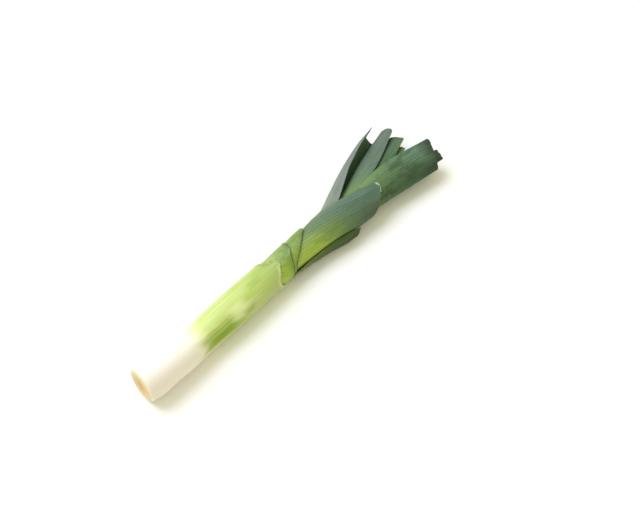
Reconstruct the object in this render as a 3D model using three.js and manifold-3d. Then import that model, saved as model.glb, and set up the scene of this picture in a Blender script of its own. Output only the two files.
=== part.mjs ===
// A trimmed leek lying on its side. The white shank ends in its mouth, and out of it come two cut-back
// sheaths and eight leaves. The leaves stand in two ranks, right and left in turn, each folded along its
// keel and holding the next one inside.
// Millimetres. While it is built, x runs from the root cut to the leaf ends, y to the left and z up from
// the surface. At the end the group is moved so that its origin is the middle of the foot of its box.

import * as THREE from "three";
import { mergeVertices } from "three/addons/utils/BufferGeometryUtils.js";
import Module from "manifold-3d";

const wasm = await Module();
wasm.setup();

// Driving dimensions of the shank and the neck
const ROOT_RADIUS = 18.6;
const ROOT_EDGE = 2.6; // how far the edge of the root cut is rounded over
const ROOT_CUT = -2.69; // where the middle of the root cut is
const ROOT_SKEW = 0.085; // the cut is this much off square, longer on the right
const ROOT_LEAN = 0.08; // and this much longer at the bottom
const ROOT_BELLY = 1; // how far the shank bulges on the right behind the cut
const WAIST_RADIUS = 16.1; // the thinnest place, at the top of the white
const BELLY_RADIUS = 16.9; // the shank fills out a little again before its mouth
const NECK_RADIUS = 16.2;
const NECK_LEFT = 3.3; // the neck has grown a little to the left of the root
const POCKET = 152; // where the outermost sheath stops being one with what it holds
const FLAT = 0.35; // how deep the soft shank is pressed flat along the surface
const WALL = 1; // sheath and leaf
const GAP = 0.35; // between one sheath and the next

// Fineness of the facets
const AROUND = 28; // sides of the shank and of the round sheaths
const HALF_STEPS = 5; // facets across half a leaf
const LENGTH_STEPS = 10; // facets along a leaf

const LAYER = WALL + GAP;
const NECK_Z = NECK_RADIUS - FLAT;
const OPEN_LEFT = 216; // how far the innermost sheath holds the leaves round, on its longer side
const OPEN_RIGHT = 198;
const NECK_SLIT = 0.7; // half the slit between a leaf's margins while it is round
const NECK_ROUND = 0.96;

const COLOURS = {
  shank: { color: 0xeef0cf, roughness: 0.35 },
  sheath: { color: 0xb9d36a, roughness: 0.45 },
  leaf: { color: 0x5c8a50, roughness: 0.5 },
  inner_leaf: { color: 0x7fa84c, roughness: 0.5 },
};

// A closed mesh as a solid, and back.
function solidOf(geometry) {
  const merged = mergeVertices(geometry, 1e-4);
  return new wasm.Manifold(
    new wasm.Mesh({
      numProp: 3,
      vertProperties: merged.attributes.position.array,
      triVerts: new Uint32Array(merged.index.array),
    }),
  );
}

function geometryOf(solid) {
  const mesh = solid.getMesh();
  const geometry = new THREE.BufferGeometry();
  geometry.setAttribute("position", new THREE.BufferAttribute(mesh.vertProperties, 3));
  geometry.setIndex(new THREE.BufferAttribute(mesh.triVerts, 1));
  geometry.computeVertexNormals();
  return geometry;
}

// Rings of equal count joined in order. A ring of one repeated point closes an end, and with loop the last
// ring joins the first.
function loft(rings, { loop = false, caps = null } = {}) {
  const count = rings[0].length;
  const points = rings.flat();
  const at = (ring, i) => ring * count + (i % count);
  const triangles = [];
  const bands = loop ? rings.length : rings.length - 1;
  for (let ring = 0; ring < bands; ring++) {
    const next = (ring + 1) % rings.length;
    for (let i = 0; i < count; i++) {
      triangles.push(at(ring, i), at(next, i), at(next, i + 1));
      triangles.push(at(ring, i), at(next, i + 1), at(ring, i + 1));
    }
  }
  if (caps) caps(triangles, at);
  const positions = new Float32Array(points.flatMap((p) => [p.x, p.y, p.z]));
  const geometry = new THREE.BufferGeometry();
  geometry.setAttribute("position", new THREE.BufferAttribute(positions, 3));
  geometry.setIndex(triangles);
  const solid = solidOf(geometry);
  if (solid.volume() > 0) return solid;
  geometry.setIndex(triangles.reverse());
  return solidOf(geometry);
}

// The middle of the shank and neck, x mm from the root cut.
const MIDLINE = new THREE.CatmullRomCurve3([
  new THREE.Vector3(-10, 0, ROOT_RADIUS - FLAT),
  new THREE.Vector3(22, -0.3, ROOT_RADIUS - FLAT),
  new THREE.Vector3(50, -1.2, 17.4 - FLAT),
  new THREE.Vector3(72, -0.5, WAIST_RADIUS - FLAT),
  new THREE.Vector3(108, 0.9, BELLY_RADIUS - FLAT),
  new THREE.Vector3(135, 1.9, BELLY_RADIUS - FLAT),
  new THREE.Vector3(160, NECK_LEFT - 0.4, NECK_Z),
  new THREE.Vector3(240, NECK_LEFT + 0.4, NECK_Z + 0.6),
]);

function middle(x) {
  const point = MIDLINE.getPoint(0);
  let low = 0;
  let high = 1;
  for (let step = 0; step < 24; step++) {
    const t = (low + high) / 2;
    MIDLINE.getPoint(t, point);
    if (point.x < x) low = t;
    else high = t;
  }
  return point.set(x, point.y, point.z);
}

// Past the first mouth the layers swell, because the leaves inside are parting.
const swell = (x) => 0.045 * Math.max(0, x - 165);

// A ring round the midline. Its place and its radius may change with the angle, which is 0 on the left and
// a quarter turn on top.
function ring(xAt, radiusAt) {
  return Array.from({ length: AROUND }, (_, i) => {
    const angle = (i / AROUND) * Math.PI * 2;
    const x = typeof xAt === "function" ? xAt(angle) : xAt;
    const wide = typeof radiusAt === "function" ? radiusAt(angle) : radiusAt;
    const radius = wide > 0 ? wide + swell(x) : 0;
    const centre = middle(x);
    return new THREE.Vector3(x, centre.y + radius * Math.cos(angle), centre.z + radius * Math.sin(angle));
  });
}

// A slanted mouth: how far along it reaches at each angle round the neck, in degrees.
function mouth(...stations) {
  const [first] = stations;
  const around = [...stations, [first[0] + 360, first[1]]];
  return (angle) => {
    const turn = THREE.MathUtils.radToDeg(angle) - first[0];
    const degrees = THREE.MathUtils.euclideanModulo(turn, 360) + first[0];
    const after = Math.max(around.findIndex(([station]) => station > degrees), 1);
    const [from, to] = [around[after - 1], around[after]];
    return THREE.MathUtils.mapLinear(degrees, from[0], to[0], from[1], to[1]);
  };
}

const MOUTH_1 = mouth(
  [10, 158], [44, 160.3], [78, 165.6], [102, 172.2], [121, 168.8], [154, 162.8], [183, 165],
  [230, 161], [310, 157],
);
const MOUTH_2 = mouth(
  [0, 192.5], [52, 192.4], [86, 190.4], [101, 187.2], [125, 184.2], [160, 181.4], [230, 180.4],
  [310, 188],
);
const MOUTH_3 = mouth(
  [0, 215], [40, 215.5], [55, 214.5], [69, 210.5], [83, 206.2], [111, 196.8], [135, 189.3],
  [180, 185], [250, 189], [310, 203],
);

// The shank: solid up to its pocket, then the outermost sheath round the others.
function shank() {
  const slope = (angle) => ROOT_SKEW * Math.cos(angle) + ROOT_LEAN * Math.sin(angle);
  const skewed = (x, radius) => ring((angle) => x + radius * slope(angle), radius);
  const belly = (angle) => ROOT_RADIUS + ROOT_BELLY * Math.max(-Math.cos(angle), 0) ** 1.5;
  const outer = [
    skewed(ROOT_CUT, 0),
    skewed(ROOT_CUT, ROOT_RADIUS - ROOT_EDGE),
    skewed(ROOT_CUT + ROOT_EDGE * 0.4, ROOT_RADIUS - ROOT_EDGE * 0.4),
    skewed(ROOT_CUT + ROOT_EDGE * 2.2, ROOT_RADIUS),
    ring(10, belly),
    ring(17, belly),
    ring(29, ROOT_RADIUS - 0.2),
    ring(50, 17.3),
    ring(72, WAIST_RADIUS),
    ring(98, BELLY_RADIUS - 0.2),
    ring(125, BELLY_RADIUS),
    ring(POCKET, NECK_RADIUS + 0.3),
  ];
  const inside = NECK_RADIUS - WALL;
  const body = loft([
    ...outer,
    ring(MOUTH_1, NECK_RADIUS + 0.2),
    ring(MOUTH_1, inside + 0.2),
    ring(POCKET, inside),
    ring(POCKET, 0),
  ]);
  return body.subtract(floor());
}

// Everything below the surface that the leek lies on.
function floor() {
  const depth = 20;
  const box = new THREE.BoxGeometry(700, 300, depth).translate(150, 0, -depth / 2);
  box.deleteAttribute("normal");
  box.deleteAttribute("uv");
  return solidOf(box);
}

// A round sheath with its mouth cut back, standing in the pocket as layer 1, 2 or more from outside.
function sheath(layer, mouthAt, grow = 0) {
  const foot = POCKET + GAP - grow;
  const radius = NECK_RADIUS - layer * LAYER + grow;
  const wall = WALL + grow * 2;
  const halfway = (angle) => 0.3 * foot + 0.7 * mouthAt(angle);
  return loft(
    [
      ring(foot, radius),
      ring(halfway, radius),
      ring(mouthAt, radius),
      ring(mouthAt, radius - wall),
      ring(halfway, radius - wall),
      ring(foot, radius - wall),
    ],
    { loop: true },
  );
}

// A leaf hangs between three rails: its keel, where it is folded, and its upper and lower margins. Each
// rail starts as part of a ring in the neck. round is 1 where half the leaf is half a circle and 0 where
// it is flat.
function leafSolid({ layer, rank, keel, upper, lower, round, bow = [0, 0], wall = WALL }, grow = 0) {
  const rail = (points, side, lift) => {
    const given = points.map((p) => new THREE.Vector3(...p));
    return new THREE.CatmullRomCurve3(layer ? [...neckRail(layer, side, lift), ...given] : given);
  };
  const rails = {
    keel: rail(keel, rank, 0),
    upper: rail(upper, -rank, NECK_SLIT),
    lower: rail(lower, -rank, -NECK_SLIT),
  };
  const roundness = layer ? [NECK_ROUND, NECK_ROUND, NECK_ROUND, ...round] : round;
  const roundAt = (t) => {
    const place = t * (roundness.length - 1);
    const before = Math.min(Math.floor(place), roundness.length - 2);
    return THREE.MathUtils.lerp(roundness[before], roundness[before + 1], place - before);
  };
  const rings = [];
  for (let step = 0; step <= LENGTH_STEPS; step++) {
    const t = step / LENGTH_STEPS;
    rings.push(leafRing(rails, roundAt(t), t, { rank, bow, wall, grow }));
  }
  if (grow) {
    rings[0].forEach((p) => (p.x -= grow));
    rings.at(-1).forEach((p) => (p.x += grow));
  }
  const around = rings[0].length;
  const half = around / 2;
  const last = rings.length - 1;
  return loft(rings, {
    caps: (triangles, at) => {
      for (let i = 0; i < half - 1; i++) {
        const mate = around - 1 - i;
        triangles.push(at(0, i), at(0, i + 1), at(0, mate - 1), at(0, i), at(0, mate - 1), at(0, mate));
        triangles.push(at(last, i), at(last, mate - 1), at(last, i + 1));
        triangles.push(at(last, i), at(last, mate), at(last, mate - 1));
      }
    },
  });
}

// The start of a rail, on the left (1) or the right (-1) of a ring in the neck.
function neckRail(layer, side, lift) {
  const radius = NECK_RADIUS - layer * LAYER;
  const open = side > 0 ? OPEN_LEFT : OPEN_RIGHT;
  return [POCKET + GAP, (POCKET + open) / 2, open].map((x) => {
    const centre = middle(x);
    return new THREE.Vector3(x, centre.y + side * (radius + swell(x)), centre.z + lift);
  });
}

// One ring of a leaf: its outside from the upper margin over the keel to the lower margin, and its inside
// back. The surface flattens whatever would sag below it.
function leafRing(rails, round, t, { rank, bow, wall, grow }) {
  const keel = rails.keel.getPoint(t);
  const halves = ["upper", "lower"].map((name, side) => {
    const margin = rails[name].getPoint(t);
    return halfSection(keel, margin, round, rank, side ? -1 : 1, bow[side] * t ** 6, grow);
  });
  const [up, down] = halves;
  const outside = [...up.reverse(), ...down.slice(1)];
  const offset = (i, by) => {
    const before = outside[Math.max(i - 1, 0)];
    const after = outside[Math.min(i + 1, outside.length - 1)];
    const normal = new THREE.Vector3(0, -(after.z - before.z), after.y - before.y).normalize();
    return outside[i].clone().addScaledVector(normal, by * rank);
  };
  const skin = outside.map((_, i) => offset(i, grow));
  const inside = outside.map((_, i) => offset(i, -wall - grow));
  skin.forEach((p) => (p.z = Math.max(p.z, -grow)));
  inside.forEach((p) => (p.z = Math.max(p.z, wall)));
  return [...skin, ...inside.reverse()];
}

// Half of a leaf's section, from the keel to a margin, bowed outwards. bow is how far its middle stands
// proud of a straight cut at the end, and grow lengthens it past the margin.
function halfSection(keel, margin, round, rank, side, bow, grow) {
  const across = margin.clone().sub(keel);
  const flat = Math.hypot(across.y, across.z);
  const out = new THREE.Vector3(0, -across.z, across.y).divideScalar(flat).multiplyScalar(-rank * side);
  const handle = across.clone().multiplyScalar((1 - round) / 3);
  const reach = (2 / 3) * round * flat;
  const curve = new THREE.CubicBezierCurve3(
    keel,
    keel.clone().add(handle).addScaledVector(out, reach),
    margin.clone().sub(handle).addScaledVector(out, reach),
    margin,
  );
  return Array.from({ length: HALF_STEPS + 1 }, (_, i) => {
    const u = i / HALF_STEPS;
    const point = curve.getPoint(u);
    if (grow && i === HALF_STEPS) point.addScaledVector(curve.getTangent(1), grow);
    point.x += bow * 4 * u * (1 - u);
    return point;
  });
}

// The leaves from the outside in. rank is 1 for a keel on the left and -1 for one on the right. The rails
// start where the leaf leaves the round neck.
const LEAVES = [
  {
    name: "leaf_4",
    colour: "leaf",
    layer: 3,
    rank: -1,
    keel: [[232, -12.5, 16.5], [258, -16.5, 17], [281, -18.5, 17.5]],
    upper: [[236, 17.5, 26], [262, 12.5, 30.5], [303, 0.4, 33.7]],
    lower: [[232, 16, 6.5], [252, 11, 3.5], [268, 5, 2.5]],
    round: [0.8, 0.5, 0.32],
    bow: [5, 0],
  },
  {
    name: "leaf_5",
    colour: "leaf",
    layer: 4,
    rank: 1,
    keel: [[241, 19.5, 17], [268, 31, 17.3], [295, 42, 17.8], [327, 51.5, 19], [348, 55, 21]],
    upper: [[236, 2, 26], [262, 13, 28.5], [298, 33.5, 30.5], [328, 46.5, 28.5], [351, 55.3, 22.5]],
    lower: [[236, 0, 7], [265, 10.5, 2], [292, 20, 0.8], [320, 28, 0.6], [346, 37, 1.6]],
    round: [0.5, 0.3, 0.25, 0.25, 0.2],
  },
  {
    name: "leaf_6",
    colour: "leaf",
    layer: 5,
    rank: -1,
    keel: [[240, -8, 16.5], [275, -11.6, 17], [320, -17.8, 17.3], [365, -24.3, 17.3]],
    upper: [[240, 12.5, 20.5], [272, 11.5, 25.5], [320, 11.8, 32.5], [376, 1.6, 34]],
    lower: [[240, 12, 10.5], [272, 10.5, 6], [320, 6, 1.6], [366, -3, 1.2]],
    round: [0.8, 0.5, 0.35, 0.25],
  },
  {
    name: "leaf_7",
    colour: "leaf",
    layer: 6,
    rank: 1,
    keel: [[250, 15.5, 17], [278, 22.4, 17.8], [316, 35.6, 18.5], [354, 45.7, 21]],
    upper: [[246, 0, 23], [275, 6, 25.5], [318, 16, 28.5], [359, 35, 26]],
    lower: [[246, 0, 11], [275, 6, 8], [316, 18, 5], [350, 31, 4]],
    round: [0.6, 0.4, 0.3, 0.25],
    bow: [5, 2],
  },
  {
    name: "leaf_8",
    colour: "leaf",
    layer: 7,
    rank: -1,
    keel: [[245, -4.5, 16.5], [280, -9, 17], [320, -15, 17.3], [368, -21.5, 17.5]],
    upper: [[245, 8, 20], [278, 7, 23], [320, 9, 29], [361, 5.5, 30.5]],
    lower: [[245, 8, 12.5], [278, 6, 9.5], [320, 5, 5.5], [366, -2, 5]],
    round: [0.7, 0.45, 0.3, 0.2],
  },
  {
    name: "leaf_9",
    colour: "inner_leaf",
    layer: 8,
    rank: 1,
    keel: [[250, 11, 17], [285, 18, 18.5], [325, 27.5, 20], [355, 34, 21.5]],
    upper: [[250, 1, 21], [285, 3, 23.5], [325, 8, 25.5], [363, 21.5, 26]],
    lower: [[250, 1, 13.5], [285, 4, 11], [325, 12, 9], [352, 21.5, 9]],
    round: [0.6, 0.4, 0.3, 0.2],
  },
  {
    name: "leaf_10",
    colour: "inner_leaf",
    layer: 9,
    rank: -1,
    keel: [[250, -1.5, 16.8], [290, -7, 17.2], [335, -13.5, 17.5], [377, -19.5, 18.5]],
    upper: [[250, 5.5, 18.5], [290, 2, 20.5], [335, 0, 24.5], [374, -9.5, 25.5]],
    lower: [[250, 5.5, 15], [290, 2, 13], [335, 0, 9.5], [373, -8, 9]],
    round: [0.6, 0.4, 0.3, 0.2],
  },
  {
    name: "leaf_11",
    colour: "inner_leaf",
    layer: 10,
    rank: 1,
    keel: [[255, 5, 17], [290, 11, 18], [325, 18.5, 19], [353, 23, 20]],
    upper: [[255, 0.5, 18.5], [290, 1.5, 20], [325, 6, 21.5], [357, 13.5, 22.5]],
    lower: [[255, 0.5, 15.5], [290, 2, 14], [325, 7, 13], [350, 14, 13]],
    round: [0.5, 0.4, 0.3, 0.2],
    wall: 0.8,
  },
];

// The blade of the second sheath, cut back to a tongue low on the right of the neck.
const TONGUE = {
  rank: -1,
  keel: [
    [164, -10.2, 9.2], [188, -10.8, 8.5], [206, -12, 8], [226, -14.6, 8], [244, -18.6, 8.4],
    [257, -20.4, 10],
  ],
  upper: [
    [164, -11.8, 15.6], [188, -12.4, 16.2], [206, -12.5, 18], [226, -13.4, 19.6],
    [245, -16, 19.6], [262, -19, 17.6],
  ],
  lower: [
    [164, -4.7, 3.2], [188, -4.6, 2.1], [206, -6, 1.8], [228, -9.5, 1.5], [244, -13.5, 1.6],
    [256, -15, 3],
  ],
  round: [0.13, 0.13, 0.2, 0.25, 0.25, 0.2],
};

// The biggest piece of a solid that its neighbours have cut, without the chips.
function biggest(solid) {
  const pieces = solid.decompose();
  return pieces.reduce((best, piece) => (piece.volume() > best.volume() ? piece : best));
}

const group = new THREE.Group();

function add(name, solid, colour) {
  const material = new THREE.MeshStandardMaterial({ ...COLOURS[colour], metalness: 0 });
  const mesh = new THREE.Mesh(geometryOf(solid), material);
  mesh.name = name;
  group.add(mesh);
}

const tongue = leafSolid(TONGUE)
  .subtract(leafSolid(LEAVES[0], GAP))
  .subtract(sheath(2, MOUTH_3, GAP))
  .subtract(sheath(0, MOUTH_1, GAP));
add("shank", shank(), "shank");
add("sheath_2", biggest(sheath(1, MOUTH_2).add(tongue)), "sheath");
add("sheath_3", sheath(2, MOUTH_3), "sheath");

// Each leaf gives way to what is outside it.
const cutters = [sheath(2, MOUTH_3, GAP * 0.8)];
for (const leaf of LEAVES) {
  let solid = leafSolid(leaf);
  for (const cutter of cutters) solid = solid.subtract(cutter);
  add(leaf.name, biggest(solid), leaf.colour);
  cutters.push(leafSolid(leaf, GAP * 0.8));
}

const box = new THREE.Box3().setFromObject(group);
const centre = box.getCenter(new THREE.Vector3());
group.position.set(-centre.x, -centre.y, -box.min.z);

export default group;
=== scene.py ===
"""A trimmed leek on a pale surface: the white shank with its root cut, the sheaths at its mouth and the fan of
folded leaves.

Places are written in millimetres along the leek (x from the root cut to the leaf ends, y to the left, z up) and
moved into the shared frame in metres by placed().
"""

import bisect
import math

import bpy
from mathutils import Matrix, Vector, noise


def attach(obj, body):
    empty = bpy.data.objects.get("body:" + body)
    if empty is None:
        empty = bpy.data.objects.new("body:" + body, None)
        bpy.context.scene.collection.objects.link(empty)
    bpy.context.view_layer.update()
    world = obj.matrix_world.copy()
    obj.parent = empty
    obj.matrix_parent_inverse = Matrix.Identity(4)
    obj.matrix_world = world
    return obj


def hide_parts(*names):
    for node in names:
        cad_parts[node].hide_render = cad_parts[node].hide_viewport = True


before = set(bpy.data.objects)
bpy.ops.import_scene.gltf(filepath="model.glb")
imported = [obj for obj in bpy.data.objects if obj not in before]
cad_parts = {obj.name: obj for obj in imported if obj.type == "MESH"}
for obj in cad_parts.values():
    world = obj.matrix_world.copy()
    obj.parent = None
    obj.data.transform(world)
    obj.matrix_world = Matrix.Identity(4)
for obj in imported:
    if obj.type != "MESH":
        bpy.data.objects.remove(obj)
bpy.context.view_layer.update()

SHIFT = Vector((-186.221, -15.521, 0.0))
MM = 0.001

# The leek's driving sizes, in mm
NECK = 16.2
POCKET = 152.35
LEAF_WALL = 0.95
SHEATH_WALL = 0.9
LAYER = 1.35
OPEN_LEFT = 216
OPEN_RIGHT = 198
GIRTH = 102.0

scene = bpy.context.scene


def placed(point):
    return (point + SHIFT) * MM


def smooth(low, high, value):
    """0 below low, 1 above high, with an easy turn between."""
    t = min(max((value - low) / (high - low), 0.0), 1.0)
    return t * t * (3 - 2 * t)


def mix(a, b, t):
    return a + (b - a) * t


def ripple(x, y=0.0, z=0.0):
    return noise.noise(Vector((x, y, z)))


def rail_point(points, t):
    """A point of a smooth rail through the given points, t from 0 to 1."""
    last = len(points) - 1
    step = min(int(t * last), last - 1)
    w = t * last - step
    p1, p2 = points[step], points[step + 1]
    p0 = points[step - 1] if step else p1 * 2 - p2
    p3 = points[step + 2] if step + 2 <= last else p2 * 2 - p1
    d0, d1, d2 = (max(math.sqrt((b - a).length), 1e-4) for a, b in ((p0, p1), (p1, p2), (p2, p3)))
    m1 = ((p1 - p0) / d0 - (p2 - p0) / (d0 + d1) + (p2 - p1) / d1) * d1
    m2 = ((p2 - p1) / d1 - (p3 - p1) / (d1 + d2) + (p3 - p2) / d2) * d1
    rise = p2 - p1
    return p1 + m1 * w + (rise * 3 - m1 * 2 - m2) * w**2 + (m1 + m2 - rise * 2) * w**3


class Rail:
    """A rail worked out once at even steps."""

    def __init__(self, points, steps=240):
        points = [Vector((*p, 0)) if len(p) == 2 else Vector(p) for p in points]
        self.steps = steps
        self.table = [rail_point(points, i / steps) for i in range(steps + 1)]
        self.xs = [p.x for p in self.table]

    def at(self, t):
        place = min(max(t, 0.0), 1.0) * self.steps
        i = min(int(place), self.steps - 1)
        return self.table[i].lerp(self.table[i + 1], place - i)

    def at_x(self, x):
        i = min(max(bisect.bisect(self.xs, x) - 1, 0), self.steps - 1)
        span = self.xs[i + 1] - self.xs[i]
        return self.table[i].lerp(self.table[i + 1], min(max((x - self.xs[i]) / span, 0.0), 1.0))


MIDLINE = Rail(
    [
        (-10, 0, 18.25),
        (22, -0.5, 18.15),
        (50, -1.3, 16.9),
        (72, -0.5, 15.6),
        (108, 0.9, 16.4),
        (135, 1.9, 16.4),
        (160, 2.9, 15.95),
        (240, 3.7, 16.45),
    ]
)

SHANK_RADIUS = Rail(
    [
        (-2, 18.5),
        (6, 18.6),
        (14, 18.7),
        (30, 18.4),
        (42, 17.9),
        (54, 17.0),
        (70, 16.1),
        (84, 16.5),
        (100, 16.8),
        (125, 16.9),
        (152, 16.5),
        (180, 16.3),
    ]
)


def swell(x):
    """Past the first mouth the layers part."""
    return 0.045 * max(0.0, x - 165)


def girth_at(degrees):
    """How many mm round the shank an angle is, counted from its left side."""
    return degrees / 360 * GIRTH


def on_ring(x, angle, radius):
    centre = MIDLINE.at_x(x)
    return Vector((x, centre.y + radius * math.cos(angle), max(centre.z + radius * math.sin(angle), 0.0)))


def mouth(*stations):
    """How far a torn or slanted mouth reaches at each angle round the neck, in degrees."""
    around = Rail([(a + turn, x) for turn in (-360, 0, 360) for a, x in stations], 900)
    return lambda angle: around.at_x(math.degrees(angle) % 360).y


MOUTH_1 = mouth(
    (10, 158), (44, 160.3), (78, 165.6), (98, 171), (103, 172.4), (109, 171), (121, 168.6), (136, 165.6), (154, 162.8),
    (178, 164), (190, 168), (203, 167), (230, 161), (310, 157),
)
MOUTH_2 = mouth(
    (0, 192.5), (30, 193), (52, 192.4), (73, 191.4), (86, 190.4), (101, 187.2), (125, 184.2), (160, 181.4), (184, 180.2),
    (230, 180.4), (310, 188),
)
MOUTH_3 = mouth(
    (0, 215), (40, 216), (55, 214.7), (69, 210.5), (83, 206.2), (111, 196.8), (135, 189.3), (160, 185.5), (200, 185),
    (250, 189), (310, 203),
)


def lay_grid(name, along, across, where, relief=None, rim=None):
    """A fine grid laid over a surface. where(u, v) gives each point in mm, relief(u, v) lifts it off the surface
    and rim(u, v) is its distance from the cut end. The grid's UV map keeps u and v."""
    bpy.ops.object.select_all(action="DESELECT")
    bpy.ops.mesh.primitive_grid_add(x_subdivisions=along, y_subdivisions=across, size=1, calc_uvs=True)
    piece = bpy.context.object
    piece.name = name
    mesh = piece.data
    mesh.name = name
    mesh.uv_layers[0].name = "weave"
    grid = [(round(v.co.x + 0.5, 5), round(v.co.y + 0.5, 5)) for v in mesh.vertices]
    for vertex, (u, v) in zip(mesh.vertices, grid):
        vertex.co = where(u, v)
    mesh.update()
    if relief:
        normals = [v.normal.copy() for v in mesh.vertices]
        for vertex, normal, (u, v) in zip(mesh.vertices, normals, grid):
            vertex.co += normal * relief(u, v)
            vertex.co.z = max(vertex.co.z, 0.0)
    if rim:
        near = mesh.attributes.new("rim", "FLOAT", "POINT")
        near.data.foreach_set("value", [rim(u, v) for u, v in grid])
    for vertex in mesh.vertices:
        vertex.co = placed(vertex.co)
    mesh.update()
    return piece, grid


def turn_out(piece, sample, outward):
    """Turns the faces over if the one nearest to a sample point faces against outward."""
    mesh = piece.data
    point = placed(Vector(sample))
    face = min(mesh.polygons, key=lambda f: (f.center - point).length_squared)
    if face.normal.dot(Vector(outward)) < 0:
        mesh.flip_normals()


def pick(piece):
    bpy.ops.object.select_all(action="DESELECT")
    bpy.context.view_layer.objects.active = piece
    piece.select_set(True)


def weld(piece, distance=0.00002):
    pick(piece)
    bpy.ops.object.mode_set(mode="EDIT")
    bpy.ops.mesh.select_mode(type="VERT")
    bpy.ops.mesh.select_all(action="SELECT")
    bpy.ops.mesh.remove_doubles(threshold=distance)
    bpy.ops.object.mode_set(mode="OBJECT")


def shade(piece, degrees):
    pick(piece)
    bpy.ops.object.shade_smooth_by_angle(angle=math.radians(degrees))


def dress(piece, *materials):
    for material in materials:
        piece.data.materials.append(material)


def stands_for(piece, node):
    """The piece moves with the leek and takes the place of a CAD node."""
    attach(piece, "root")
    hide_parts(node)


# Colours, in sRGB hex where they aren't linear, and the one helper for shader nodes

LEAF_DEPTH = 0.72
VEIN_DARK = (0.02, 0.045, 0.012, 1.0)
FIBRE_DARK = (0.03, 0.06, 0.02, 1.0)


def tone(code, depth=1.0):
    """An sRGB hex colour as linear light, darkened by depth."""
    parts = [int(code[i : i + 2], 16) / 255 for i in (0, 2, 4)]
    return (*(depth * (c / 12.92 if c <= 0.04045 else ((c + 0.055) / 1.055) ** 2.4) for c in parts), 1.0)


def add(tree, kind, inputs=(), out=0, stops=(), **settings):
    """Adds a shader node with its settings. Its inputs are given in order or as a dict, each a plain value or an
    output of another node. Returns one of its outputs, or the node itself where out is None."""
    made = tree.nodes.new("ShaderNode" + kind)
    for name, value in settings.items():
        setattr(made, name, value)
    for socket, value in inputs.items() if isinstance(inputs, dict) else enumerate(inputs):
        if isinstance(value, bpy.types.NodeSocket):
            tree.links.new(value, made.inputs[socket])
        else:
            made.inputs[socket].default_value = value
    for number, (position, colour) in enumerate(stops):
        elements = made.color_ramp.elements
        if number == 0:
            elements.remove(elements[-1])
            elements[0].position = position
            elements[0].color = colour
        else:
            elements.new(position).color = colour
    return made if out is None else made.outputs[out]


def fresh(name):
    material = bpy.data.materials.new(name)
    material.use_nodes = True
    tree = material.node_tree
    tree.nodes.clear()
    return material, tree


def leek_place(tree):
    """The object's own coordinates as millimetres along the leek: x from the root, y to the left, z up."""
    place = add(tree, "TexCoord", out="Object")
    in_mm = add(tree, "Mapping", {"Vector": place, "Scale": (1 / MM, 1 / MM, 1 / MM), "Location": tuple(-SHIFT)})
    return in_mm, add(tree, "SeparateXYZ", (in_mm,), out=None).outputs


def weave_place(tree):
    """The piece's own UV map, and how far round the piece or across the leaf a point is, from 0 to 1."""
    weave = add(tree, "UVMap", uv_map="weave")
    return weave, add(tree, "SeparateXYZ", (weave,), out=1)


def mottle(tree, place, stretch, detail=3.0, roughness=0.55):
    """A soft uneven pattern. It has stretch grains to one unit of its place."""
    place = add(tree, "Mapping", {"Vector": place, "Scale": stretch})
    return add(tree, "TexNoise", {"Vector": place, "Scale": 1.0, "Detail": detail, "Roughness": roughness})


def strayed(tree, value, pattern, reach):
    """A value that strays with a pattern, half of reach either way."""
    off = add(tree, "Math", (pattern, 0.5), operation="SUBTRACT")
    return add(tree, "Math", (off, reach, value), operation="MULTIPLY_ADD")


def mask(tree, *fades):
    """How strongly a mark shows. A fade is a value, where it is least and most, and how much it then gives (0 and
    1 where that isn't said). The fades, and plain shares among them, are multiplied."""
    share = None
    for fade in fades:
        if isinstance(fade, tuple):
            value, start, end, *amounts = fade
            least, most = [0.0, 1.0][: 2 - len(amounts)] + amounts
            fade = add(tree, "MapRange", (value, start, end, least, most), interpolation_type="SMOOTHSTEP")
        share = fade if share is None else add(tree, "Math", (share, fade), operation="MULTIPLY")
    return share


def coat(tree, body, colour, *fades):
    """A colour laid over the body's where the mask of the fades lets it."""
    return add(tree, "Mix", {0: mask(tree, *fades), 6: body, 7: colour}, out=2, data_type="RGBA")


def along(tree, place, colours, depth=1.0):
    """Colours along the leek, from (mm from the root, hex) pairs."""
    first, last = colours[0][0], colours[-1][0]
    share = add(tree, "MapRange", (place, first, last))
    stops = [((x - first) / (last - first), tone(code, depth)) for x, code in colours]
    return add(tree, "ValToRGB", (share,), stops=stops)


def close(material, tree, body, roughness, relief, strength, depth, inputs):
    """Ends a material with its colour, its roughness, a relief of depth mm and its other values."""
    bump = add(tree, "Bump", {"Strength": strength, "Distance": depth * MM, "Height": relief})
    made = {"Base Color": body, "Roughness": mask(tree, roughness), "Normal": bump, **inputs}
    add(tree, "OutputMaterial", (add(tree, "BsdfPrincipled", made),), out=None)
    return material


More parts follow.
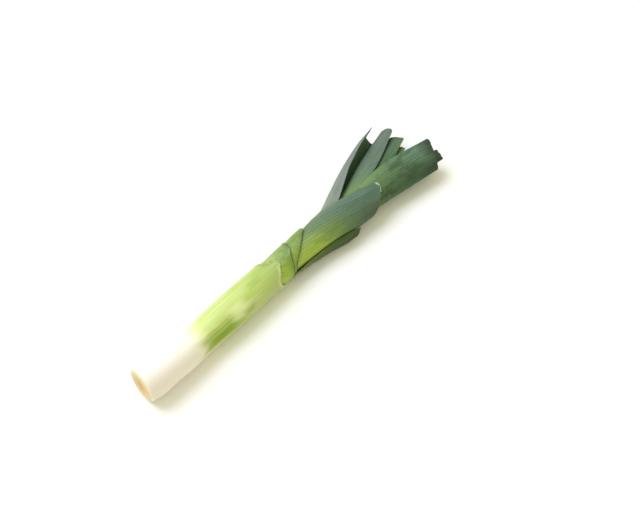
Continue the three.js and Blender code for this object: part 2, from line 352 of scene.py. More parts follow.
def leaf_skin(
    name,
    colours,
    keel,
    keel_amount=0.8,
    veins=26,
    bloom=0.3,
    wax_tone="6f8775",
    specks=0.0,
    fringe=0.0,
    blotches=0.15,
    spot=None,
):
    """Leek leaf, outer face: satin green tissue with fine lengthwise veins, dulled by a thin grey wax bloom.

    colours and keel are lists of (mm from the root, hex) along the leaf, for its sides and round its keel."""
    material, tree = fresh(name)
    place, axes = leek_place(tree)
    weave, across = weave_place(tree)
    wander = mottle(tree, place, (0.02, 0.06, 0.06))
    length = strayed(tree, axes[0], wander, 22.0)
    from_keel = add(tree, "Math", (across, 2.0, -1.0), operation="MULTIPLY_ADD")
    from_keel = add(tree, "Math", (from_keel,), operation="ABSOLUTE")
    from_keel = strayed(tree, from_keel, wander, 0.5)

    # Veins run the whole length, some stronger than others
    fine = mottle(tree, weave, (1.6, veins * 4.2, 1))
    coarse = mottle(tree, weave, (2.0, veins * 1.25, 1), 2.0, 0.5)
    bands = add(tree, "Mapping", {"Vector": weave, "Scale": (0.05, 1, 1)})
    wave = add(
        tree,
        "TexWave",
        {"Vector": bands, "Scale": veins * 0.314, "Distortion": 0.25, "Detail": 1.0, "Detail Scale": 1.5},
        out="Fac",
        bands_direction="Y",
    )
    vein = mask(tree, (wave, 0.55, 0.98), (coarse, 0.35, 0.7, 0.15, 1.0))

    # The wax bloom is thicker in some places and rubbed off in others. Round the keel the leaf takes its keel colours:
    # thin bloom there, and on some leaves painted shade along a keel that lies in shade
    rubbed = mottle(tree, place, (0.045, 0.14, 0.14), 4.0)
    body = along(tree, length, colours, LEAF_DEPTH)
    body = coat(tree, body, tone(wax_tone, LEAF_DEPTH), (rubbed, 0.35, 0.7, bloom))
    body = coat(tree, body, along(tree, length, keel, LEAF_DEPTH), (from_keel, 0.75, 0.1), keel_amount)
    body = coat(tree, body, VEIN_DARK, vein, 0.36)
    body = coat(tree, body, FIBRE_DARK, (fine, 0.5, 0.72, 0.3))
    body = coat(tree, body, tone("a9bd98", LEAF_DEPTH), (fine, 0.47, 0.28, 0.2))
    flecks = mottle(tree, weave, (26, veins * 5, 1), 2.0)
    body = coat(tree, body, tone("30401c", LEAF_DEPTH), (flecks, 0.55, 0.75, 0.35))
    bruises = mottle(tree, place, (0.05, 0.12, 0.12), 2.0)
    body = coat(tree, body, tone("2c4a20", LEAF_DEPTH), (bruises, 0.5, 0.64, blotches))

    # Towards its cut end the leaf is frayed pale at the top margin and dried a little brown
    end = add(tree, "Attribute", out="Fac", attribute_name="rim")
    if fringe:
        low_down = mask(tree, (across, 0.95, 0.7))
        frayed = add(tree, "Math", (low_down, 1.2, strayed(tree, end, rubbed, 9.0)), operation="MULTIPLY_ADD")
        body = coat(tree, body, tone("cdd6b4"), (frayed, 1.0, 0.1, fringe))
    dried = add(tree, "Math", (end, rubbed), operation="ADD")
    body = coat(tree, body, tone("5a5a2c", LEAF_DEPTH), (dried, 2.2, 0.8, 0.3))

    if specks:
        dots = add(tree, "TexVoronoi", {"Vector": place, "Scale": 0.32}, out="Distance")
        chosen = add(tree, "TexNoise", {"Vector": place, "Scale": 0.07, "Detail": 1.0, "Roughness": 0.55})
        fades = (dots, 0.2, 0.08), (chosen, 0.56, 0.64, specks), (axes[0], 325.0, 305.0)
        body = coat(tree, body, tone("dfe8d6"), *fades)
    if spot:
        away = add(tree, "VectorMath", (place, spot), out="Value", operation="DISTANCE")
        body = coat(tree, body, tone("35402c"), (strayed(tree, away, fine, 2.0), 2.2, 1.0, 0.8))

    raised = add(tree, "Math", (fine, 0.8), operation="MULTIPLY")
    relief = add(tree, "Math", (vein, -0.6, raised), operation="MULTIPLY_ADD")
    inputs = {
        "Specular IOR Level": 0.3,
        "Subsurface Weight": 0.08,
        "Subsurface Radius": (0.4, 1.0, 0.2),
        "Subsurface Scale": MM,
    }
    return close(material, tree, body, (rubbed, 0.3, 0.75, 0.42, 0.6), relief, 0.35, 0.2, inputs)


def leaf_inside(name, deep, light):
    """Leek leaf, inner face: darker and glossier than the outside, without bloom."""
    material, tree = fresh(name)
    streak = mottle(tree, weave_place(tree)[0], (1.5, 60, 1), 2.0)
    body = coat(tree, tone(deep), tone(light), (streak, 0.35, 0.7))
    return close(material, tree, body, (streak, 0.3, 0.7, 0.36, 0.5), streak, 0.3, 0.2, {"Specular IOR Level": 0.4})


def cut_edge(name, pale, deep):
    """The thin cut edge of a leaf: damp pale tissue with darker green between."""
    material, tree = fresh(name)
    place, axes = leek_place(tree)
    grain = add(tree, "TexNoise", {"Vector": place, "Scale": 0.9, "Detail": 3.0, "Roughness": 0.55})
    body = coat(tree, tone(deep), tone(pale), (grain, 0.35, 0.65))
    return close(material, tree, body, (grain, 0.3, 0.7, 0.35, 0.6), grain, 0.4, 0.2, {})


def shank_skin():
    """Shank: smooth damp skin with a soft sheen, blanched ivory near the root, then pale yellow and green."""
    material, tree = fresh("shank skin")
    place, (x, y, z) = leek_place(tree)
    weave, round_share = weave_place(tree)
    wander = mottle(tree, place, (0.02, 0.09, 0.09))
    fibres = mottle(tree, weave, (2.2, 150, 1))
    length = strayed(tree, strayed(tree, x, wander, 16.0), fibres, 16.0)
    body = along(
        tree,
        length,
        [
            (0, "f7eee4"),
            (30, "faf4ee"),
            (58, "f5f4e0"),
            (68, "e6ecaa"),
            (76, "cddc80"),
            (94, "c5d67a"),
            (118, "c3d476"),
            (138, "b4c966"),
            (158, "a6bc60"),
            (176, "98b056"),
        ],
    )

    # Fine white and green lines in the green part
    green_part = mask(tree, (x, 70.0, 96.0))
    lines = mottle(tree, weave, (1.2, 230, 1), 2.0)
    body = coat(tree, body, tone("f3f6cf"), (lines, 0.55, 0.7, 0.55), green_part)
    body = coat(tree, body, tone("9db84a"), (lines, 0.45, 0.28, 0.4), green_part)

    # The outermost sheath's torn margin shows as a pale dry line low on the right
    around = add(tree, "Math", (round_share, GIRTH), operation="MULTIPLY")
    margin = add(tree, "Math", (around, girth_at(203)), operation="SUBTRACT")
    margin = add(tree, "Math", (margin,), operation="ABSOLUTE")
    body = coat(tree, body, tone("ece8c8"), (margin, 0.9, 0.3), (x, 92.0, 120.0, 0.8))

    # Painted shade: on the right and low down, where less light falls, the skin is painted a little more beige, and a
    # dull olive in the green part
    shade_on_right, below = mask(tree, (y, -1.0, -17.0, 0.52)), mask(tree, (z, 16.0, 2.0, 0.6))
    low = add(tree, "Math", (shade_on_right, below), operation="MAXIMUM")
    body = coat(tree, body, coat(tree, tone("dacebb"), tone("a2ab62"), green_part), low)
    body = coat(tree, body, tone("fffdf2"), (fibres, 0.45, 0.75, 0.12))
    bruise = add(tree, "TexNoise", {"Vector": place, "Scale": 0.12, "Detail": 4.0, "Roughness": 0.55})
    body = coat(tree, body, tone("e2d3a8"), (bruise, 0.6, 0.8, 0.18))

    # The saturated green patch low on the right, and fainter smudges
    for (where_x, degrees), (half_length, half_width), strength, code in [
        ((90, 154), (27, 8.8), 1.0, "93a800"),
        ((87, 158), (21, 6.4), 0.9, "7f9b00"),
        ((112, 130), (11, 8.0), 0.55, "eaf4b8"),
        ((122, 153), (9, 3.5), 0.6, "8d9f3c"),
        ((140, 96), (10, 4.2), 0.4, "93ab3c"),
        ((121, 53), (12, 5.0), 0.3, "a9c048"),
        ((150, 70), (14, 5.0), 0.3, "9fb63f"),
        ((128, 110), (12, 4.0), 0.3, "a9c048"),
    ]:
        fades = []
        for value, middle, half, loose, cloud, start, end, full in (
            (x, where_x, half_length, 1.2, 1.5, 1.25, 0.2, 1.0),
            (around, girth_at(degrees), half_width, 1.0, 1.3, 1.2, 0.55, strength),
        ):
            off = add(tree, "Math", (value, middle), operation="SUBTRACT")
            off = add(tree, "Math", (off, half), operation="DIVIDE")
            off = add(tree, "Math", (off,), operation="ABSOLUTE")
            off = strayed(tree, strayed(tree, off, fibres, loose), wander, cloud)
            fades.append((off, start, end, full))
        body = coat(tree, body, tone(code), *fades)

    # A few white fibres run past the patch's upper side
    beside = add(tree, "Math", (around, girth_at(137)), operation="SUBTRACT")
    beside = add(tree, "Math", (beside,), operation="ABSOLUTE")
    threads = mottle(tree, weave, (0.5, 330, 1), 1.0)
    fades = (threads, 0.5, 0.62), (beside, 4.5, 2.0), (x, 60.0, 74.0, 0.6), (x, 150.0, 120.0)
    body = coat(tree, body, tone("e6f2b4"), *fades)

    # The mouth's torn edge is a dark dry line on the left and a pale papery one on the right
    end = add(tree, "Attribute", out="Fac", attribute_name="rim")
    to_right = mask(tree, (around, girth_at(96), girth_at(108)), (around, GIRTH, 86.0))
    body = coat(tree, body, tone("d3cfa0"), (end, 5.0, 1.4, 0.5), to_right)
    body = coat(tree, body, tone("7c7a48"), (end, 9.0, 2.0), (around, 27.0, 18.0, 0.5), (wander, 0.4, 0.6))
    dry = coat(tree, tone("484624"), tone("e6ddbc"), to_right)
    body = coat(tree, body, dry, (strayed(tree, end, fibres, 1.6), 1.2, 0.5, 0.85))

    relief = add(tree, "Math", (lines, 0.5, fibres), operation="MULTIPLY_ADD")
    inputs = {
        "Specular IOR Level": 0.45,
        "Subsurface Weight": 0.25,
        "Subsurface Radius": (1.0, 0.85, 0.45),
        "Subsurface Scale": 3 * MM,
    }
    return close(material, tree, body, (wander, 0.3, 0.7, 0.3, 0.44), relief, 0.22, 0.3, inputs)


def root_cut_skin():
    """The root cut: a straw-coloured dull dry plate where the roots were, inside rings of cut ivory leaf bases."""
    material, tree = fresh("root cut")
    place, axes = leek_place(tree)
    centre = add(tree, "VectorMath", (place, (-2.4, -0.2, 18.2)), operation="SUBTRACT")
    flat = add(tree, "VectorMath", (centre, (0.0, 1, 1)), operation="MULTIPLY")
    radius = add(tree, "VectorMath", (flat,), out="Value", operation="LENGTH")
    grain = add(tree, "TexNoise", {"Vector": place, "Scale": 0.5, "Detail": 4.0, "Roughness": 0.55})
    share = add(tree, "Math", (strayed(tree, radius, grain, 2.5), 19.0), operation="DIVIDE")
    colours = [(0.0, "c3a468"), (0.35, "d9bd84"), (0.62, "e6cfa0"), (0.8, "ecdcb4"), (0.9, "f1e8cc"), (1.0, "f5efdc")]
    body = add(tree, "ValToRGB", (share,), stops=[(position, tone(code)) for position, code in colours])
    rings = add(
        tree,
        "TexWave",
        {"Vector": flat, "Scale": 0.21, "Distortion": 1.2, "Detail": 2.0, "Detail Scale": 0.3},
        out="Fac",
        wave_type="RINGS",
        rings_direction="SPHERICAL",
    )
    body = coat(tree, body, tone("b9985a"), (rings, 0.75, 1.0), (radius, 8.0, 15.0, 0.45))
    body = coat(tree, body, tone("9c7b43"), (grain, 0.6, 0.85, 0.35))
    return close(material, tree, body, (grain, 0.3, 0.7, 0.5, 0.75), grain, 0.5, 0.5, {})


def sheath_skin(name, colours, right_colours):
    """Sheath skin: satin yellow-green tissue with fine veins, greyer on the left, drying to a thin dark line at
    its cut mouth."""
    material, tree = fresh(name)
    place, axes = leek_place(tree)
    weave, round_share = weave_place(tree)
    fibres = mottle(tree, weave, (1.4, 190, 1))
    length = strayed(tree, axes[0], fibres, 12.0)
    cloud = add(tree, "TexNoise", {"Vector": place, "Scale": 0.22, "Detail": 3.0, "Roughness": 0.55})
    to_right = strayed(tree, axes[1], cloud, 10.0)
    body = coat(tree, along(tree, length, colours), along(tree, length, right_colours), (to_right, 8.0, -8.0))
    body = coat(tree, body, tone("c3d286"), (fibres, 0.55, 0.75, 0.3))
    body = coat(tree, body, tone("5c7a22"), (fibres, 0.45, 0.28, 0.3))

    # Dark flecks and a greyish cloud on top, then the dried line at the mouth
    flecks = mottle(tree, weave, (9, 160, 1))
    body = coat(tree, body, tone("4a5e30"), (axes[2], 20.0, 31.0), (flecks, 0.48, 0.7, 0.25))
    body = coat(tree, body, tone("5a6e3c"), (axes[2], 20.0, 31.0), (cloud, 0.32, 0.72, 0.5))
    end = add(tree, "Attribute", out="Fac", attribute_name="rim")
    body = coat(tree, body, tone("5c7820"), (end, 6.0, 0.5, 0.5))
    body = coat(tree, body, tone("37421c"), (strayed(tree, end, cloud, 2.4), 1.3, 0.5, 0.9))
    inputs = {"Subsurface Weight": 0.12, "Subsurface Radius": (0.6, 1.0, 0.3), "Subsurface Scale": 1.5 * MM}
    return close(material, tree, body, (fibres, 0.3, 0.7, 0.36, 0.5), fibres, 0.3, 0.3, inputs)


# The leaves, from the outside in

LEAVES = {
    "leaf_4": dict(
        layer=3,
        rank=-1,
        keel=[(232, -12.5, 16.5), (258, -16.5, 17), (281, -18.5, 17.5)],
        upper=[(236, 17.5, 26), (262, 12.5, 30.5), (303, 0.4, 33.7)],
        lower=[(232, 16, 6.5), (252, 11, 3.5), (268, 5, 2.5)],
        round=[0.8, 0.5, 0.32],
        bow=(5, 0),
        skin=dict(
            colours=[(190, "90a66c"), (214, "829a64"), (232, "789465"), (250, "708e72"), (270, "6a8973"), (300, "668672")],
            # Past 250 mm the keel colours turn dark olive-brown: partly the leaf's own browning, partly painted shade
            # where the keel lies low beside the tongue
            keel=[(190, "cde650"), (218, "bfdd44"), (234, "9cbc44"), (250, "738f50"), (266, "5c7456"), (284, "565f40")],
            fringe=0.75,
        ),
    ),
    "leaf_5": dict(
        layer=4,
        rank=1,
        keel=[(241, 19.5, 17), (268, 31, 17.3), (295, 42, 17.8), (327, 51.5, 19), (348, 55, 21)],
        upper=[(236, 2, 26), (262, 13, 28.5), (298, 33.5, 30.5), (328, 46.5, 28.5), (351, 55.3, 22.5)],
        lower=[(236, 0, 7), (265, 10.5, 2), (292, 20, 0.8), (320, 28, 0.6), (346, 37, 1.6)],
        round=[0.5, 0.3, 0.25, 0.25, 0.2],
        bow=(0, 0),
        skin=dict(
            colours=[(214, "a3ad84"), (232, "9fab8c"), (262, "96a394"), (300, "8c9792"), (350, "979a98")],
            keel=[(214, "b5b68c"), (240, "a2a888"), (350, "8c918e")],
            bloom=0.2,
            wax_tone="93a0a0",
            keel_amount=0.5,
            spot=(273, 30.0, 20.7),
        ),
        inside=("4a6648", "648460"),
        torn=True,
    ),
    "leaf_6": dict(
        layer=5,
        rank=-1,
        keel=[(240, -8, 16.5), (275, -11.6, 17), (320, -17.8, 17.3), (365, -24.3, 17.3)],
        upper=[(240, 12.5, 20.5), (272, 11.5, 25.5), (320, 11.8, 32.5), (376, 1.6, 34)],
        lower=[(240, 12, 10.5), (272, 10.5, 6), (320, 6, 1.6), (366, -3, 1.2)],
        round=[0.8, 0.5, 0.35, 0.25],
        bow=(0, 0),
        skin=dict(
            colours=[(220, "a8cc54"), (266, "9cc05c"), (292, "7ca05a"), (325, "6a8f60"), (358, "6f9478"), (372, "2e3a26")],
            # Towards the end the keel colours darken to near black: painted shade along the keel, the leaf's lower edge
            keel=[(230, "86ab48"), (262, "6f9446"), (300, "4a683e"), (345, "365232"), (370, "1c2616")],
            bloom=0.4,
            blotches=0.5,
            specks=0.9,
        ),
    ),
    "leaf_7": dict(
        layer=6,
        rank=1,
        keel=[(250, 15.5, 17), (278, 22.4, 17.8), (316, 35.6, 18.5), (354, 45.7, 21)],
        upper=[(246, 0, 23), (275, 6, 25.5), (318, 16, 28.5), (359, 35, 26)],
        lower=[(246, 0, 11), (275, 6, 8), (316, 18, 5), (350, 31, 4)],
        round=[0.6, 0.4, 0.3, 0.25],
        bow=(5, 2),
        skin=dict(
            colours=[(225, "a8cc58"), (262, "98ba60"), (290, "7e9e6c"), (320, "738e76"), (362, "7a887e")],
            keel=[(225, "86a25c"), (262, "7b9372"), (362, "76847e")],
            keel_amount=0.4,
        ),
    ),
    "leaf_8": dict(
        layer=7,
        rank=-1,
        keel=[(245, -4.5, 16.5), (280, -9, 17), (320, -15, 17.3), (368, -21.5, 17.5)],
        upper=[(245, 8, 20), (278, 7, 23), (320, 9, 29), (361, 5.5, 30.5)],
        lower=[(245, 8, 12.5), (278, 6, 9.5), (320, 5, 5.5), (366, -2, 5)],
        round=[0.7, 0.45, 0.3, 0.2],
        bow=(0, 0),
        skin=dict(
            colours=[(220, "7d9a4a"), (262, "6c875c"), (300, "5c775b"), (366, "4a6346")],
            keel=[(220, "6d9038"), (262, "527634"), (366, "304828")],
        ),
    ),
    "leaf_9": dict(
        layer=8,
        rank=1,
        keel=[(250, 11, 17), (285, 18, 18.5), (325, 27.5, 20), (355, 34, 21.5)],
        upper=[(250, 1, 21), (285, 3, 23.5), (325, 8, 25.5), (363, 21.5, 26)],
        lower=[(250, 1, 13.5), (285, 4, 11), (325, 12, 9), (352, 21.5, 9)],
        round=[0.6, 0.4, 0.3, 0.2],
        bow=(0, 0),
        skin=dict(
            colours=[(225, "7d9a4a"), (262, "5f7a52"), (300, "4c6b45"), (330, "5c8054"), (364, "628660")],
            # The dark keel colours, laid at full strength, are painted shade where leaf_7 shades this leaf's keel side
            keel=[(225, "5f7a42"), (300, "2c4030"), (364, "3a5240")],
            keel_amount=1.0,
        ),
    ),
    "leaf_10": dict(
        layer=9,
        rank=-1,
        keel=[(250, -1.5, 16.8), (290, -7, 17.2), (335, -13.5, 17.5), (377, -19.5, 18.5)],
        upper=[(250, 5.5, 18.5), (290, 2, 20.5), (335, 0, 24.5), (376.6, -10, 25.5)],
        lower=[(250, 5.5, 15), (290, 2, 13), (335, 0, 9.5), (373, -8, 9)],
        round=[0.6, 0.4, 0.3, 0.2],
        bow=(0, 0),
        skin=dict(
            colours=[(225, "8aa64a"), (270, "6f8f42"), (320, "4f6f3a"), (377, "3d5638")],
            keel=[(225, "7d9a3a"), (320, "40602c"), (377, "33452c")],
        ),
    ),
    "leaf_11": dict(
        layer=10,
        rank=1,
        keel=[(255, 5, 17), (290, 11, 18), (325, 18.5, 19), (353, 23, 20)],
        upper=[(255, 0.5, 18.5), (290, 1.5, 20), (325, 6, 21.5), (357, 13.5, 22.5)],
        lower=[(255, 0.5, 15.5), (290, 2, 14), (325, 7, 13), (350, 14, 13)],
        round=[0.5, 0.4, 0.3, 0.2],
        bow=(0, 0),
        skin=dict(
            colours=[(225, "9ab84a"), (280, "86a544"), (320, "6c8a40"), (357, "7d9a4c")],
            keel=[(225, "9ab84a"), (320, "5f7e36"), (357, "6c8a40")],
        ),
    ),
}

TONGUE = dict(
    rank=-1,
    keel=[(164, -9.8, 9.4), (188, -10.8, 8.5), (206, -12, 8), (226, -14.6, 8), (244, -18.6, 8.4), (257, -20.4, 10)],
    upper=[
        (164, -11.4, 15.6),
        (188, -12.4, 16.2),
        (206, -12.5, 18),
        (226, -13.4, 19.6),
        (245, -16, 19.6),
        (262, -19, 17.6),
    ],
    lower=[(164, -4.5, 3.6), (188, -4.6, 2.1), (206, -6, 1.8), (228, -9.5, 1.5), (244, -13.5, 1.6), (256, -15, 3)],
    round=[0.13, 0.13, 0.2, 0.25, 0.25, 0.2],
    bow=(0, 0),
)


def neck_rail(layer, side, lift):
    """Where a rail starts, on the left (1) or the right (-1) of its ring in the neck."""
    radius = NECK - layer * LAYER
    open_at = OPEN_LEFT if side > 0 else OPEN_RIGHT
    start = []
    for x in (POCKET, (POCKET + open_at) / 2, open_at):
        centre = MIDLINE.at_x(x)
        start.append((x, centre.y + side * (radius + swell(x)), centre.z + lift))
    return start


def half_section(keel, margin, roundness, rank, side, share):
    """A point of half a leaf's section, share 0 at the keel and 1 at the margin, bowed outwards."""
    across = margin - keel
    flat = math.hypot(across.y, across.z)
    out = Vector((0, -across.z, across.y)) * (-rank * side / flat)
    handle = across * ((1 - roundness) / 3)
    reach = out * (2 / 3 * roundness * flat)
    a, b, c, d = keel, keel + handle + reach, margin - handle + reach, margin
    r = 1 - share
    return a * r**3 + b * (3 * r * r * share) + c * (3 * r * share * share) + d * share**3


def leaf_surface(spec, cut):
    """where(u, v) of a leaf: u along it, v from its lower margin over the keel to its upper one. cut(v) is how
    many mm its end is trimmed shorter than the rails."""
    layer, rank = spec.get("layer"), spec["rank"]
    start = neck_rail(layer, rank, 0) if layer else []
    keel = Rail(start + spec["keel"])
    upper = Rail((neck_rail(layer, -rank, 0.7) if layer else []) + spec["upper"])
    lower = Rail((neck_rail(layer, -rank, -0.7) if layer else []) + spec["lower"])
    roundness = ([0.96] * 3 if layer else []) + spec["round"]
    turns = Rail([(i, value) for i, value in enumerate(roundness)])
    length = keel.xs[-1] - keel.xs[0]
    rounding = 0.035

    def where(u, v):
        t = max(u - cut(v) / length * smooth(0.72, 1.0, u), 0.0)
        side = v * 2 - 1
        place = t * (len(roundness) - 1)
        before = min(int(place), len(roundness) - 2)
        q = mix(roundness[before], roundness[before + 1], place - before)
        share = math.sqrt(side * side * (1 - rounding**2) + rounding**2)
        lean = side / share
        spine = keel.at(t)
        high = half_section(spine, upper.at(t), q, rank, 1, share)
        low = half_section(spine, lower.at(t), q, rank, -1, share)
        high.x += spec["bow"][0] * t**6 * 4 * share * (1 - share)
        low.x += spec["bow"][1] * t**6 * 4 * share * (1 - share)
        point = high * ((1 + lean) / 2) + low * ((1 - lean) / 2)
        point.z = max(point.z, 0.0)
        return point

    return where


def thicken(piece, thickness, grid=()):
    """Gives a skin its wall on the inner side, thinned to half at the margins where its grid is given. The inner
    face and the cut edge take the second and third materials."""
    wall = piece.modifiers.new("wall", "SOLIDIFY")
    wall.thickness = thickness * MM
    wall.offset = -1
    wall.material_offset = 1
    wall.material_offset_rim = 2
    if grid:
        group = piece.vertex_groups.new(name="wall")
        for index, (u, v) in enumerate(grid):
            group.add([index], mix(1.0, 0.5, smooth(0.3, 1.0, abs(v * 2 - 1))), "REPLACE")
        wall.vertex_group = "wall"
        wall.thickness_vertex_group = 0.0
    pick(piece)
    bpy.ops.object.modifier_apply(modifier="wall")
    piece.vertex_groups.clear()


def torn_half(side, seed):
    """The pointed leaf's far half is torn off short."""
    ragged = 1.2 * ripple(side * 9, seed) + 0.7 * ripple(side * 31, seed)
    return smooth(0.0, -0.1, side) * (1.5 + 9 * smooth(-0.75, -0.12, side) + ragged)


def make_leaf(name, spec, index):
    seed = 7.3 * index
    ribs_each_side = 15

    def cut(v):
        side = v * 2 - 1
        ragged = 0.9 * ripple(side * 5, seed) + 0.5 * ripple(side * 19, seed + 3) + 0.25 * ripple(side * 60, seed)
        short = torn_half(side, seed) if spec.get("torn") else 0.0
        return max(0.25 + 0.7 * ragged, 0.0) + 0.6 * smooth(0.93, 1.0, abs(side)) + short

    def relief(u, v):
        side = v * 2 - 1
        ribs = 0.07 * math.cos(side * ribs_each_side * 2 * math.pi) * smooth(0.0, 0.3, u)
        waves = 0.2 * ripple(u * 7, side * 1.6, seed) + 0.07 * ripple(u * 26, side * 5, seed)
        edge = 0.5 * smooth(0.75, 1.0, abs(side)) * ripple(u * 16, side, seed + 9)
        return ribs + (waves + edge) * smooth(0.25, 0.45, u)

    surface = leaf_surface(spec, cut)
    piece, grid = lay_grid(name, 110, 150, surface, relief, lambda u, v: (1 - u) * 215)
    turn_out(piece, surface(0.5, 0.5), (0, spec["rank"], 0))
    inner = leaf_inside(name + " inner", *spec.get("inside", ("4c6b37", "6b8a48")))
    dress(piece, leaf_skin(name + " skin", **spec["skin"]), inner, cut_edge(name + " cut", "a9bb84", "5c7a44"))
    thicken(piece, LEAF_WALL, grid)
    shade(piece, 50)
    stands_for(piece, name)


def make_tube(name, layer, mouth_at, colours, right_colours, bulge, index):
    """A round sheath standing in the neck, cut off at its mouth."""
    seed = 3.1 * index
    radius = NECK - layer * LAYER

    def edge_at(angle):
        ragged = 0.35 * ripple(math.cos(angle) * 3, math.sin(angle) * 3, seed)
        return mouth_at(angle) + ragged + 0.2 * ripple(math.cos(angle) * 14, math.sin(angle) * 14, seed)

    def where(u, v):
        angle = v * 2 * math.pi
        end = edge_at(angle)
        x = mix(POCKET, end, min(u, 1.0))
        return on_ring(x, angle, radius + swell(x) + bulge(x, angle, end))

    def relief(u, v):
        angle = v * 2 * math.pi
        wave = 0.12 * ripple(u * 5, math.cos(angle) * 3, math.sin(angle) * 3 + seed)
        return wave + 0.05 * math.cos(angle * 34)

    def rim(u, v):
        return (1 - u) * (edge_at(v * 2 * math.pi) - POCKET)

    piece, grid = lay_grid(name, 70, 272, where, relief, rim)
    weld(piece)
    turn_out(piece, on_ring(170, math.pi / 2, radius), (0, 0, 1))
    inner = leaf_inside(name + " inner", "6f8c34", "9db552")
    skin = sheath_skin(name + " skin", colours, right_colours)
    dress(piece, skin, inner, cut_edge(name + " cut", "b9bd7c", "6d7438"))
    thicken(piece, SHEATH_WALL)
    shade(piece, 50)
    stands_for(piece, name)


def make_shank():
    root, cut_radius, edge_width, edge_length = -2.45, 15.3, 3.2, 5.2
    pocket_radius, pocket_floor, wall = 15.2, POCKET - 0.35, 0.85
    cut_steps, edge_steps, skin_steps, lip_steps, inner_steps, floor_steps = 26, 10, 190, 4, 14, 5
    total = cut_steps + edge_steps + skin_steps + lip_steps + inner_steps + floor_steps

    def edge_at(angle):
        ragged = 0.4 * ripple(math.cos(angle) * 4, math.sin(angle) * 4, 2.0)
        return MOUTH_1(angle) + ragged + 0.25 * ripple(math.cos(angle) * 18, math.sin(angle) * 18, 5.0)

    def outside(x, angle, end):
        radius = SHANK_RADIUS.at_x(x).y + swell(x)
        degrees = math.degrees(angle)
        # The torn margin of the outermost sheath, low on the right
        step = smooth(203, 206, degrees) * smooth(330, 250, degrees) * smooth(92, 125, x)
        lip = smooth(end - 5, end, x) * 0.15
        belly = 1.1 * smooth(0, 8, x) * smooth(34, 12, x) * max(-math.cos(angle - 0.15), 0.0) ** 1.5
        return radius - 0.55 * step + lip + belly

    def where(u, v):
        angle = v * 2 * math.pi
        end = edge_at(angle)
        place = round(u * total)
        # The cut is off square
        lean = 0.085 * math.cos(angle) + 0.06 * math.sin(angle)
        if place <= cut_steps:
            share = place / cut_steps
            radius = cut_radius * share
            rings = 0.3 * math.cos(radius * 2 * math.pi / 1.9) * smooth(7, 11, radius)
            bumps = ripple(radius * 0.5 * math.cos(angle), radius * 0.5 * math.sin(angle), 4)
            plate = 0.9 * smooth(10.5, 8.5, radius) + 0.5 * bumps
            x = root + lean * radius + rings * 0.5 + plate * 0.5 + 0.5 * smooth(13, 16, radius)
            return on_ring(x, angle, radius)
        place -= cut_steps
        if place <= edge_steps:
            turn = place / edge_steps * math.pi / 2
            radius = cut_radius + edge_width * math.sin(turn)
            x = root + 0.5 + edge_length * (1 - math.cos(turn)) + lean * radius
            return on_ring(x, angle, radius)
        place -= edge_steps
        begin = root + 0.5 + edge_length + lean * (cut_radius + edge_width)
        if place <= skin_steps:
            share = place / skin_steps
            x = mix(begin, end, share)
            return on_ring(x, angle, outside(x, angle, end))
        place -= skin_steps
        outer = outside(end, angle, end)
        if place <= lip_steps:
            share = place / lip_steps
            return on_ring(end + 0.1 * math.sin(share * math.pi), angle, outer - wall * share)
        place -= lip_steps
        if place <= inner_steps:
            x = mix(end, pocket_floor, place / inner_steps)
            return on_ring(x, angle, min(pocket_radius + swell(x) + 0.2, outer - wall))
        place -= inner_steps
        return on_ring(pocket_floor, angle, pocket_radius * (1 - place / floor_steps))

    def relief(u, v):
        place = round(u * total) - cut_steps - edge_steps
        if not 0 < place < skin_steps:
            return 0.0
        angle = v * 2 * math.pi
        c, s = math.cos(angle), math.sin(angle)
        share = place / skin_steps
        soft = 0.22 * ripple(share * 5, c * 1.4, s * 1.4)
        ribs = 0.05 * math.cos(angle * 44 + 2 * ripple(share * 3, c, s))
        return (soft + ribs) * smooth(0, 12, place)

    def rim(u, v):
        share = (round(u * total) - cut_steps - edge_steps) / skin_steps
        return 200.0 if share < 0 else (1 - share) * (edge_at(v * 2 * math.pi) - 2.3)

    piece, grid = lay_grid("shank", total, 288, where, relief, rim)
    weld(piece)
    turn_out(piece, (80, 0, 32), (0, 0, 1))
    dress(piece, shank_skin(), root_cut_skin(), cut_edge("shank mouth", "c6cf8c", "93a052"))
    low_u = (cut_steps + edge_steps * 0.35) / total
    lip_u = (cut_steps + edge_steps + skin_steps - 1) / total
    inner_u = (cut_steps + edge_steps + skin_steps + lip_steps) / total
    weave = piece.data.uv_layers["weave"].data
    for face in piece.data.polygons:
        u = sum(weave[i].uv.x for i in face.loop_indices) / len(face.loop_indices)
        face.material_index = 1 if u < low_u else 2 if lip_u < u < inner_u else 0
    shade(piece, 45)
    stands_for(piece, "shank")


make_shank()


def flat_edge(x, angle, end):
    return 0.25 * smooth(end - 3, end, x)


def lobe(x, angle, end):
    """The left side of the third sheath bulges away from the leaves before its mouth."""
    left = max(math.cos(angle - math.radians(25)), 0.0) ** 2
    return left * 1.1 * smooth(188, 205, x) * smooth(end + 3, end - 4, x) + 0.2 * smooth(end - 3, end, x)


make_tube(
    "sheath_2",
    1,
    MOUTH_2,
    [(158, "a9c065"), (170, "a4bb66"), (182, "86a24e"), (198, "748f45")],
    [(158, "a6bd4c"), (170, "9ab53a"), (182, "86a428"), (198, "7d9a24")],
    flat_edge,
    1,
)


def tongue_cut(v):
    side = v * 2 - 1
    return max(0.6 + 1.5 * ripple(side * 4, 8.0) + 0.6 * ripple(side * 15, 2.0), 0.0)


def tongue_relief(u, v):
    side = v * 2 - 1
    return (0.3 * ripple(u * 12, side * 2, 3.0) + 0.06 * math.cos(side * 30)) * smooth(0.16, 0.36, u)


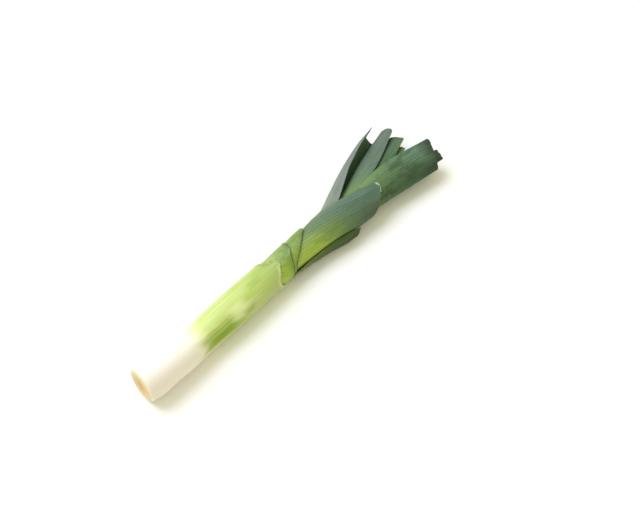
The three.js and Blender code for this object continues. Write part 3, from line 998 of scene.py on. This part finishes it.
tongue_surface = leaf_surface(TONGUE, tongue_cut)
tongue, tongue_grid = lay_grid("tongue", 80, 44, tongue_surface, tongue_relief, lambda u, v: (1 - u) * 95)
turn_out(tongue, tongue_surface(0.5, 0.5), (0, -1, 0))
tongue_skin = leaf_skin(
    "tongue skin",
    [(164, "96a847"), (205, "5c7a10"), (235, "46620c"), (262, "3c4a00")],
    [(164, "8a9c3a"), (205, "4a6400"), (235, "304600"), (262, "202c00")],
    veins=9,
    bloom=0.1,
    wax_tone="8a8c5c",
    fringe=0.7,
)
tongue_inner = leaf_inside("tongue inner", "54651f", "76862f")
dress(tongue, tongue_skin, tongue_inner, cut_edge("tongue edge", "7c7a3a", "4c4c1c"))
thicken(tongue, SHEATH_WALL, tongue_grid)
shade(tongue, 50)
stands_for(tongue, "sheath_2")

make_tube(
    "sheath_3",
    2,
    MOUTH_3,
    [(160, "96b04c"), (185, "86a440"), (200, "7a983c"), (220, "6c8a3a")],
    [(160, "98b23c"), (185, "8ea830"), (200, "84a02c"), (220, "7a9628")],
    lobe,
    2,
)
for number, (name, spec) in enumerate(LEAVES.items()):
    make_leaf(name, spec, number + 4)


# The surface that the leek lies on: matt pale paper with a fine tooth of about 1 mm

bpy.ops.object.select_all(action="DESELECT")
bpy.ops.mesh.primitive_plane_add(size=12, location=(0, 0, 0))
surface = bpy.context.object
surface.name = "surface"
paper, tree = fresh("pale paper")
texture_place = add(tree, "TexCoord", out="Object")
tooth = add(tree, "TexNoise", {"Vector": texture_place, "Scale": 900.0, "Detail": 3.0, "Roughness": 0.55})
sheet = coat(tree, tone("f6f5f1"), tone("fbfaf6"), tooth)
plain = add(tree, "BsdfPrincipled", {"Base Color": sheet, "Roughness": 0.9, "Specular IOR Level": 0.1})
add(tree, "OutputMaterial", (plain,), out=None)
surface.data.materials.append(paper)


# Light: one large soft source high on the leek's left, and a bright warm room

world = bpy.data.worlds.new("room")
scene.world = world
world.use_nodes = True
world.node_tree.nodes.clear()
sky = add(world.node_tree, "Background", {"Color": (1.0, 0.98, 0.74, 1.0), "Strength": 0.8})
add(world.node_tree, "OutputWorld", (sky,), out=None)


def softbox(name, place, aim, size, power, colour):
    bpy.ops.object.light_add(type="AREA", location=place)
    lamp = bpy.context.object
    lamp.name = name
    lamp.data.shape = "DISK"
    lamp.data.size = size
    lamp.data.energy = power
    lamp.data.color = colour
    lamp.rotation_euler = (Vector(aim) - Vector(place)).to_track_quat("-Z", "Y").to_euler()


softbox("key", (-0.5, 1.7, 2.8), (0, 0, 0), 2.3, 92, (0.7, 0.74, 1.0))


# The camera, where the photo was taken from

bpy.ops.object.camera_add(
    location=(-0.471386, -0.543927, 1.235589), rotation=(math.radians(30), 0, math.radians(-44))
)
camera = bpy.context.object
camera.data.lens = 82.895
camera.data.sensor_width = 36
camera.data.clip_start = 0.05
camera.data.clip_end = 20
scene.camera = camera
scene.view_settings.view_transform = "Standard"
